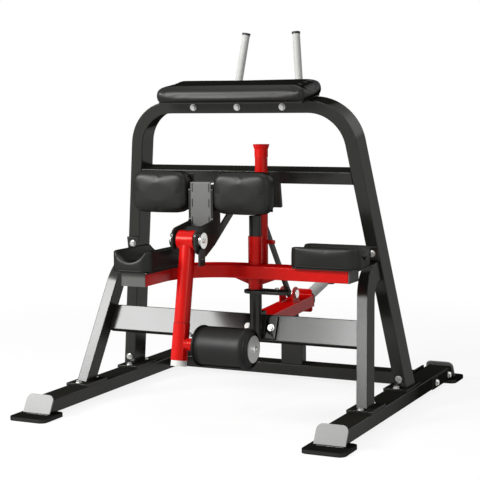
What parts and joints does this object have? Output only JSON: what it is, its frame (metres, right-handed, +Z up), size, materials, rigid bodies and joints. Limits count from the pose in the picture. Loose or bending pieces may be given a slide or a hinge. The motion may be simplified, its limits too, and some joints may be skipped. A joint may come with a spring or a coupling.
{
  "type": "standing hamstring machine",
  "caption": "Plate-loaded standing hamstring machine with a leaning arch frame, elbow and thigh pads, a swivelling knee beam, a lever with a foam roller and a weight horn.",
  "frame": {"origin": "on the floor at the middle of the machine's footprint", "axes": "+Z up, +Y from the user's front side to the weight horn at the rear, +X to the right seen from the front"},
  "size_m": [1.387, 1.536, 1.504],
  "materials": {
    "frame_coat": "satin powder coat",
    "red_coat": "gloss",
    "red_grip": "satin",
    "chrome": "polished",
    "zinc_steel": "satin",
    "upholstery": "satin",
    "foam": "matt",
    "rubber": "matt",
    "plastic": "matt"
  },
  "bodies": {
    "frame": {"rail_right": "frame_coat", "rail_left": "frame_coat", "rail_end_plates": "frame_coat", "rear_crossbeam": "frame_coat", "crossbeam_flanges": "frame_coat", "box_post": "frame_coat", "arch_tube": "frame_coat", "rail_flanges": "frame_coat", "upper_crossbar": "frame_coat", "front_leg_right": "frame_coat", "front_leg_left": "frame_coat", "leg_tabs": "frame_coat", "front_crossbeam": "frame_coat", "central_post": "frame_coat", "post_mount": "frame_coat", "index_plate": "frame_coat", "pad_boards": "frame_coat", "side_plate_left": "frame_coat", "side_plate_right": "frame_coat", "thigh_cover": "frame_coat", "bellcrank_hangers": "frame_coat", "arm_brackets": "frame_coat", "foot_pads": "rubber", "weight_buffer": "rubber", "top_pad": "upholstery", "thigh_pad_left": "upholstery", "thigh_pad_right": "upholstery", "handle_right": "zinc_steel", "handle_left": "zinc_steel", "frame_bolts": "zinc_steel", "index_stop_bolt": "zinc_steel", "handle_caps": "plastic", "pivot_shaft": "chrome"},
    "lever": {"lever_hub": "red_coat", "lever_tube": "red_coat", "lever_bearings": "zinc_steel", "leg_end_cap": "rubber"},
    "leg_sleeve": {"leg_sleeve": "red_coat", "roller_axle": "zinc_steel", "roller_end_disc": "zinc_steel"},
    "sleeve_pin": {"sleeve_pin": "zinc_steel"},
    "roller": {"roller_foam": "foam", "roller_core": "plastic"},
    "push_rod": {"push_rod": "frame_coat"},
    "bellcrank": {"bellcrank": "frame_coat"},
    "lift_link": {"lift_link": "frame_coat"},
    "weight_arm": {"weight_arm": "red_coat", "clevis_pin": "chrome", "weight_horn": "zinc_steel", "horn_stopper": "rubber", "horn_cap": "plastic"},
    "swivel": {"swivel_sleeve": "red_coat", "swivel_beam": "red_coat", "swivel_handle": "red_coat", "swivel_bushes": "plastic", "beam_end_caps": "plastic", "swivel_grip": "red_grip", "knee_pad_left": "upholstery", "knee_pad_right": "upholstery", "knee_pad_boards": "frame_coat"}
  },
  "joints": [
    {"name": "lever_pivot", "type": "hinge", "parent": "frame", "child": "lever", "pos_m": [-0.026, -0.522, 0.7], "axis": [-1, 0, 0], "range_deg": [0, 105]},
    {"name": "leg_sleeve_swing", "type": "hinge", "parent": "lever", "child": "leg_sleeve", "pos_m": [-0.026, -0.522, 0.7], "axis": [0, -0.1908, -0.9816], "range_deg": [0, 180]},
    {"name": "roller_spin", "type": "hinge", "parent": "leg_sleeve", "child": "roller", "pos_m": [0.15, -0.59626, 0.31795], "axis": [1, 0, 0], "continuous": true},
    {"name": "sleeve_pin_pull", "type": "slide", "parent": "leg_sleeve", "child": "sleeve_pin", "axis": [0, 0.9816, -0.1908], "range_m": [0, 0.01], "stiffness_N_per_m": 600, "springref_m": -0.004},
    {"name": "push_rod_pin", "type": "hinge", "parent": "lever", "child": "push_rod", "pos_m": [-0.026, -0.4768, 0.69203], "axis": [1, 0, 0], "range_deg": [0, 109]},
    {"name": "bellcrank_pivot", "type": "hinge", "parent": "frame", "child": "bellcrank", "pos_m": [-0.026, -0.0698, 0.7946], "axis": [1, 0, 0], "range_deg": [0, 51.5]},
    {"name": "weight_arm_pivot", "type": "hinge", "parent": "frame", "child": "weight_arm", "pos_m": [0.01, -0.102, 0.301], "axis": [1, 0, 0], "range_deg": [0, 9.5]},
    {"name": "lift_link_pin", "type": "hinge", "parent": "weight_arm", "child": "lift_link", "pos_m": [0.01, 0.34297, 0.385], "axis": [-1, 0, 0], "range_deg": [0, 6.2]},
    {"name": "swivel_turn", "type": "hinge", "parent": "frame", "child": "swivel", "pos_m": [0.128, -0.255, 0.5], "axis": [0, 0, -1], "range_deg": [0, 90]}
  ],
  "couplings": [
    {"joint": "push_rod_pin", "follows": "lever_pivot", "ratio": 1.032},
    {"joint": "bellcrank_pivot", "follows": "lever_pivot", "ratio": 0.484},
    {"joint": "weight_arm_pivot", "follows": "lever_pivot", "ratio": 0.089},
    {"joint": "lift_link_pin", "follows": "lever_pivot", "ratio": 0.058}
  ]
}
